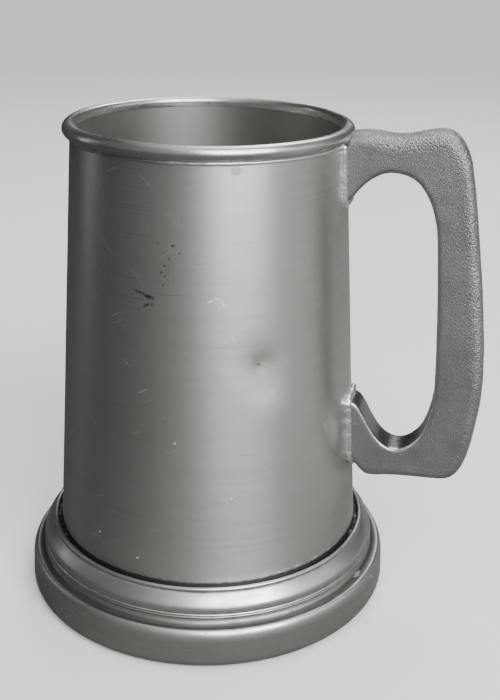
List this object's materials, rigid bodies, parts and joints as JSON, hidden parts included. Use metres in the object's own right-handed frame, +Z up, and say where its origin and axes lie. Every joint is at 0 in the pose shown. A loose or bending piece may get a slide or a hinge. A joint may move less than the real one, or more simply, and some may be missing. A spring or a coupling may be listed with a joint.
{
  "type": "pewter tankard",
  "caption": "Open tankard with a tapered round barrel, half-round rim bead, wide moulded foot and a flat-sided cast side handle, soldered together.",
  "frame": {"origin": "on the surface the tankard stands on, under the middle of its footprint with the handle included", "axes": "+Z up along the barrel's axis, +X from the barrel to the handle, the XZ plane halves the tankard"},
  "size_m": [0.1266, 0.103, 0.1326],
  "materials": {
    "brushed_pewter": "pewter, fine turned lines round the barrel, satin and slightly worn",
    "polished_rim": "pewter, polished bright with a soft tarnish",
    "polished_foot": "pewter, polished mouldings, darker in the grooves",
    "satin_pewter": "pewter, dull satin",
    "cast_pewter": "pewter, matt and finely pebbled from the mould",
    "solder": "bright soft solder, uneven",
    "groove_solder": "soft solder, darkened in the groove"
  },
  "bodies": {
    "root": {"barrel": "brushed_pewter", "rim_bead": "polished_rim", "foot": "polished_foot", "floor_plate": "satin_pewter", "handle": "cast_pewter", "rim_solder": "solder", "foot_solder": "groove_solder", "base_solder": "solder", "handle_upper_solder": "solder", "handle_lower_solder": "solder"}
  },
  "joints": []
}
